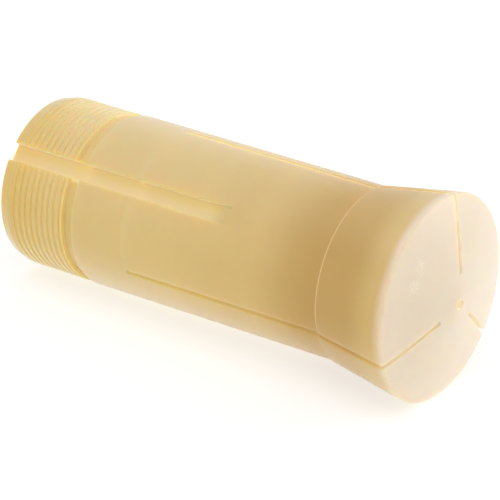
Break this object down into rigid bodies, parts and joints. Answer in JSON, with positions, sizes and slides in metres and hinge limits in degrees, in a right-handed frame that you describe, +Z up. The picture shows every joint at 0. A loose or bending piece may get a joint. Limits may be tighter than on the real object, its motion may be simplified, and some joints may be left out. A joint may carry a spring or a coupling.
{
  "type": "split machining collet",
  "caption": "Plastic split collet blank for a lathe spindle: threaded keyed tail, slotted sleeve and a tapered head with an un-bored crowned face.",
  "frame": {"origin": "centre of the tail's end face, on the collet's axis", "axes": "+X along the axis from the threaded tail to the head's face, +Z up, keyway at 139.8 degrees about +X from +Y"},
  "size_m": [0.0889, 0.0376, 0.0376],
  "materials": {
    "nylon": "moulded and turned natural nylon, satin"
  },
  "bodies": {
    "sleeve": {"threaded_tail": "nylon", "bearing_sleeve": "nylon", "nose_web": "nylon"},
    "jaw_1": {"spring_finger_1": "nylon", "jaw_head_1": "nylon"},
    "jaw_2": {"spring_finger_2": "nylon", "jaw_head_2": "nylon"},
    "jaw_3": {"spring_finger_3": "nylon", "jaw_head_3": "nylon"}
  },
  "joints": [
    {"name": "jaw_1_flex", "type": "hinge", "parent": "sleeve", "child": "jaw_1", "pos_m": [0.0283, -0.00868, 0.00754], "axis": [0, 0.6561, 0.7547], "range_deg": [0, 0.22]},
    {"name": "jaw_2_flex", "type": "hinge", "parent": "sleeve", "child": "jaw_2", "pos_m": [0.0283, -0.00219, -0.01129], "axis": [0, -0.9816, 0.1908], "range_deg": [0, 0.22]},
    {"name": "jaw_3_flex", "type": "hinge", "parent": "sleeve", "child": "jaw_3", "pos_m": [0.0283, 0.01087, 0.00374], "axis": [0, 0.3256, -0.9455], "range_deg": [0, 0.22]}
  ],
  "couplings": [
    {"joint": "jaw_2_flex", "follows": "jaw_1_flex", "ratio": 1},
    {"joint": "jaw_3_flex", "follows": "jaw_1_flex", "ratio": 1}
  ]
}
